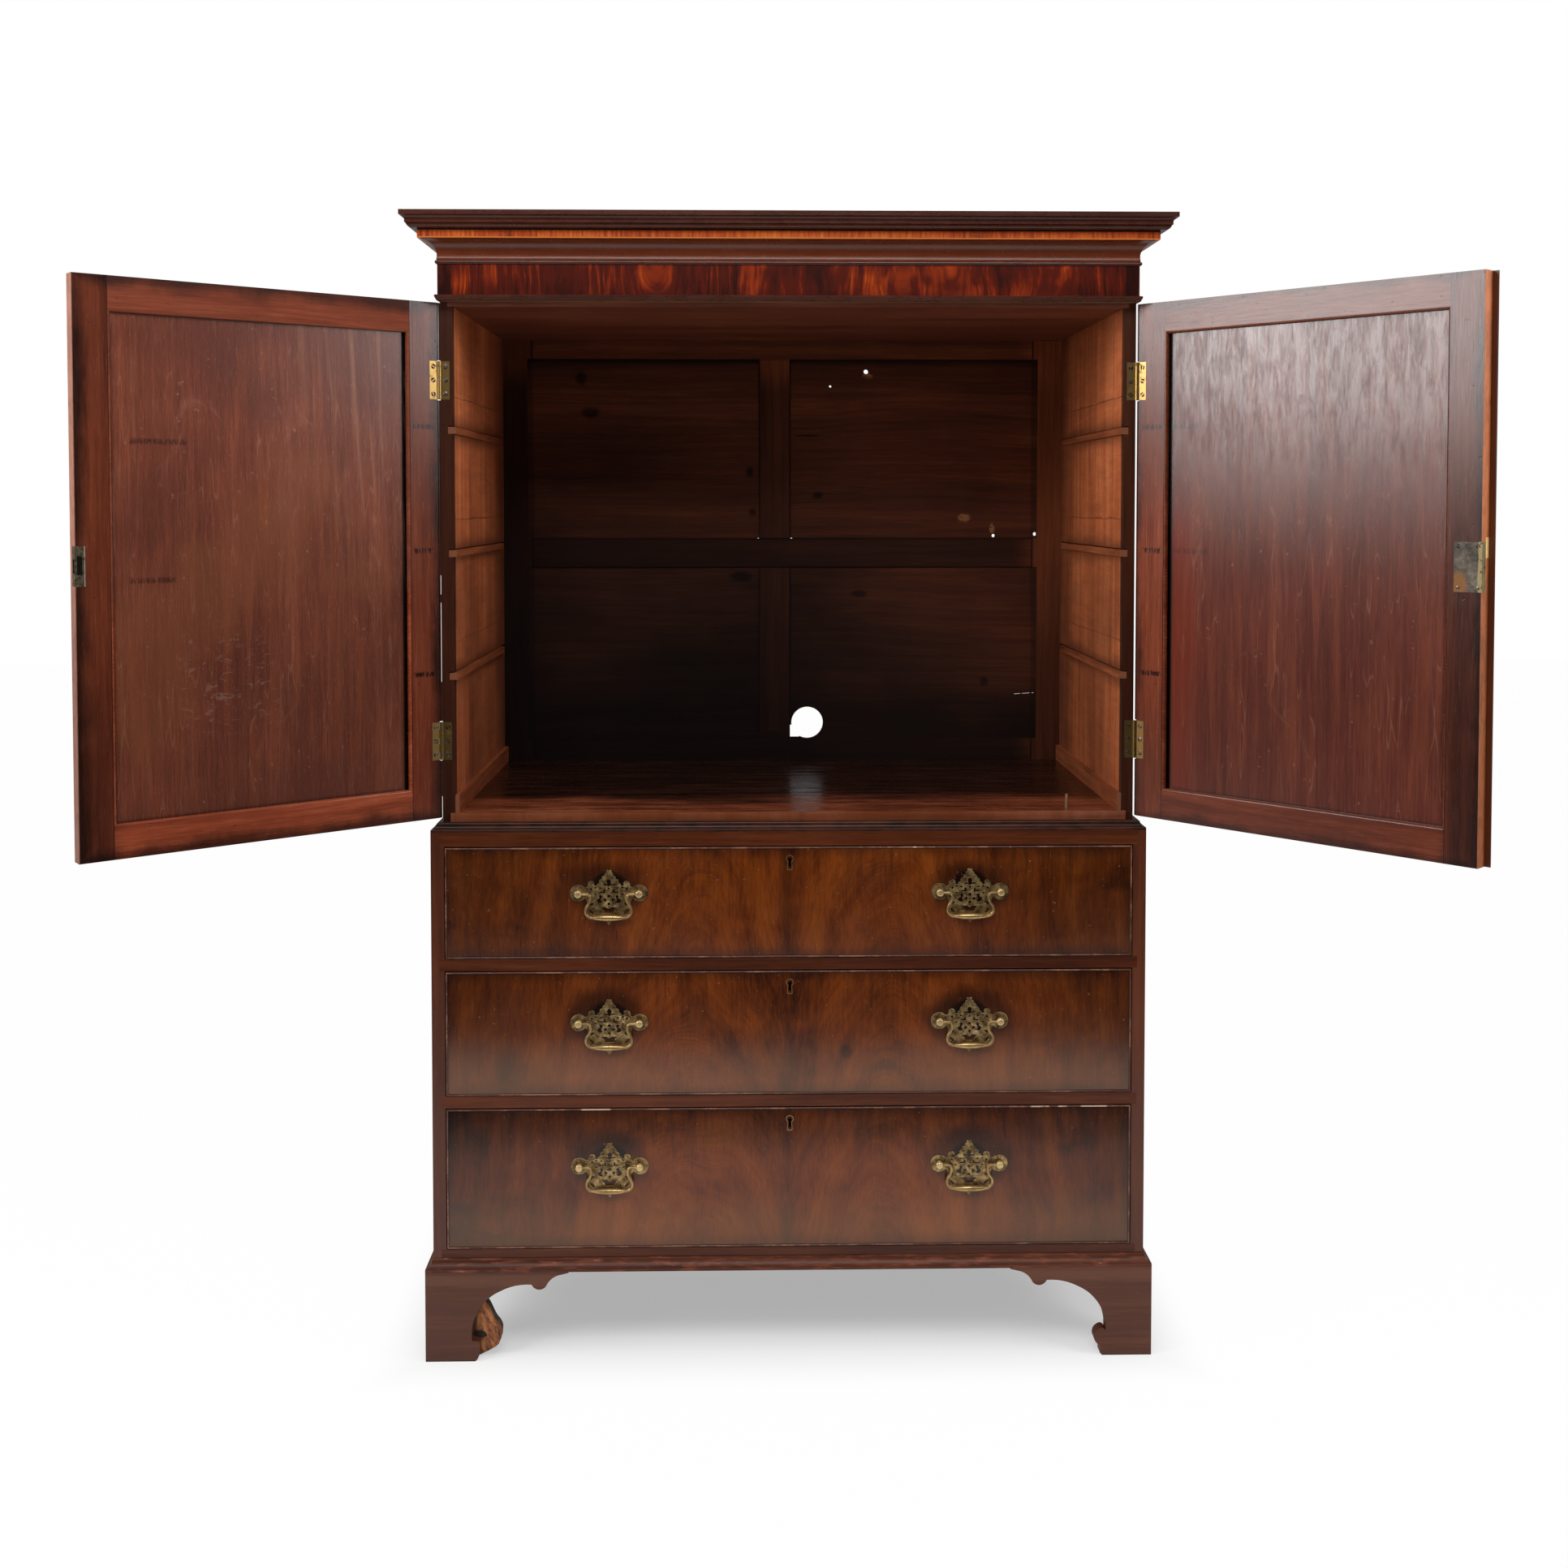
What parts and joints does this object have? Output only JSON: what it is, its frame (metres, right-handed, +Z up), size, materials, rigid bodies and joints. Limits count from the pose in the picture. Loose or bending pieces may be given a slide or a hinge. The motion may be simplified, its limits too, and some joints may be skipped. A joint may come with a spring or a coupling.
{
  "type": "linen press",
  "caption": "Tall mahogany cupboard with hinged doors and tray runners on a chest of drawers with pierced pulls, moulded cornice and bracket feet",
  "frame": {"origin": "on the floor under the middle of the carcase plan", "axes": "+X to the right as seen from the front, +Y towards the back, +Z up; at rest both doors stand open"},
  "size_m": [2.0685, 1.0016, 1.9165],
  "materials": {
    "mahogany_flame": "waxed flame veneer",
    "mahogany_case": "waxed",
    "mahogany_inside": "dull, dry",
    "oak": "bare",
    "pine": "bare, darkened",
    "brass": "aged",
    "iron": "filed"
  },
  "bodies": {
    "press": {"lower_sides": "mahogany_case", "lower_boards": "pine", "drawer_rails": "mahogany_case", "drawer_runners": "pine", "dust_boards": "pine", "lower_back_boards": "pine", "waist_moulding": "mahogany_case", "base_moulding": "mahogany_case", "front_feet": "mahogany_case", "rear_feet": "mahogany_case", "foot_blocks": "pine", "upper_sides": "mahogany_case", "cupboard_boards": "mahogany_inside", "back_frame": "mahogany_inside", "back_panels": "mahogany_inside", "tray_runners": "mahogany_inside", "frieze": "mahogany_flame", "cornice_beads": "mahogany_case", "cornice_cove": "mahogany_case", "cornice_band": "mahogany_case", "cornice_crown": "mahogany_case", "cornice_frame": "pine", "carcase_hinge_leaves": "brass", "hinge_pins": "brass"},
    "left_door": {"left_door_frame": "mahogany_case", "left_door_panel": "mahogany_inside", "left_door_beads": "mahogany_case", "left_door_hinge_leaves": "brass", "left_door_keep": "brass"},
    "right_door": {"right_door_frame": "mahogany_case", "right_door_panel": "mahogany_inside", "right_door_beads": "mahogany_case", "right_door_hinge_leaves": "brass", "right_door_lock": "brass", "right_door_astragal": "mahogany_case"},
    "right_door_bolt": {"right_door_bolt": "iron"},
    "top_drawer": {"top_drawer_front": "mahogany_flame", "top_drawer_box": "oak", "top_drawer_cock_bead": "mahogany_case", "top_drawer_pull_plates": "brass", "top_drawer_lock": "brass"},
    "top_drawer_bolt": {"top_drawer_bolt": "iron"},
    "top_drawer_left_bail": {"top_drawer_left_bail": "brass"},
    "top_drawer_right_bail": {"top_drawer_right_bail": "brass"},
    "middle_drawer": {"middle_drawer_front": "mahogany_flame", "middle_drawer_box": "oak", "middle_drawer_cock_bead": "mahogany_case", "middle_drawer_pull_plates": "brass", "middle_drawer_lock": "brass"},
    "middle_drawer_bolt": {"middle_drawer_bolt": "iron"},
    "middle_drawer_left_bail": {"middle_drawer_left_bail": "brass"},
    "middle_drawer_right_bail": {"middle_drawer_right_bail": "brass"},
    "bottom_drawer": {"bottom_drawer_front": "mahogany_flame", "bottom_drawer_box": "oak", "bottom_drawer_cock_bead": "mahogany_case", "bottom_drawer_pull_plates": "brass", "bottom_drawer_lock": "brass"},
    "bottom_drawer_bolt": {"bottom_drawer_bolt": "iron"},
    "bottom_drawer_left_bail": {"bottom_drawer_left_bail": "brass"},
    "bottom_drawer_right_bail": {"bottom_drawer_right_bail": "brass"}
  },
  "joints": [
    {"name": "left_door_hinge", "type": "hinge", "parent": "press", "child": "left_door", "pos_m": [-0.584, -0.2775, 1.344], "axis": [0, 0, -1], "range_deg": [-142.5, 30]},
    {"name": "right_door_hinge", "type": "hinge", "parent": "press", "child": "right_door", "pos_m": [0.584, -0.2775, 1.344], "axis": [0, 0, 1], "range_deg": [-133.3, 38]},
    {"name": "right_door_bolt_slide", "type": "slide", "parent": "right_door", "child": "right_door_bolt", "axis": [0.6858, -0.7278, 0], "range_m": [0, 0.008]},
    {"name": "top_drawer_slide", "type": "slide", "parent": "press", "child": "top_drawer", "axis": [0, -1, 0], "range_m": [0, 0.4]},
    {"name": "top_drawer_bolt_slide", "type": "slide", "parent": "top_drawer", "child": "top_drawer_bolt", "axis": [0, 0, 1], "range_m": [0, 0.008]},
    {"name": "top_drawer_left_bail_swing", "type": "hinge", "parent": "top_drawer", "child": "top_drawer_left_bail", "pos_m": [-0.303, -0.3096, 0.78955], "axis": [-1, 0, 0], "range_deg": [0, 95]},
    {"name": "top_drawer_right_bail_swing", "type": "hinge", "parent": "top_drawer", "child": "top_drawer_right_bail", "pos_m": [0.303, -0.3096, 0.78955], "axis": [-1, 0, 0], "range_deg": [0, 95]},
    {"name": "middle_drawer_slide", "type": "slide", "parent": "press", "child": "middle_drawer", "axis": [0, -1, 0], "range_m": [0, 0.4]},
    {"name": "middle_drawer_bolt_slide", "type": "slide", "parent": "middle_drawer", "child": "middle_drawer_bolt", "axis": [0, 0, 1], "range_m": [0, 0.008]},
    {"name": "middle_drawer_left_bail_swing", "type": "hinge", "parent": "middle_drawer", "child": "middle_drawer_left_bail", "pos_m": [-0.303, -0.3096, 0.57052], "axis": [-1, 0, 0], "range_deg": [0, 95]},
    {"name": "middle_drawer_right_bail_swing", "type": "hinge", "parent": "middle_drawer", "child": "middle_drawer_right_bail", "pos_m": [0.303, -0.3096, 0.57052], "axis": [-1, 0, 0], "range_deg": [0, 95]},
    {"name": "bottom_drawer_slide", "type": "slide", "parent": "press", "child": "bottom_drawer", "axis": [0, -1, 0], "range_m": [0, 0.4]},
    {"name": "bottom_drawer_bolt_slide", "type": "slide", "parent": "bottom_drawer", "child": "bottom_drawer_bolt", "axis": [0, 0, 1], "range_m": [0, 0.008]},
    {"name": "bottom_drawer_left_bail_swing", "type": "hinge", "parent": "bottom_drawer", "child": "bottom_drawer_left_bail", "pos_m": [-0.303, -0.3096, 0.32664], "axis": [-1, 0, 0], "range_deg": [0, 95]},
    {"name": "bottom_drawer_right_bail_swing", "type": "hinge", "parent": "bottom_drawer", "child": "bottom_drawer_right_bail", "pos_m": [0.303, -0.3096, 0.32664], "axis": [-1, 0, 0], "range_deg": [0, 95]}
  ]
}
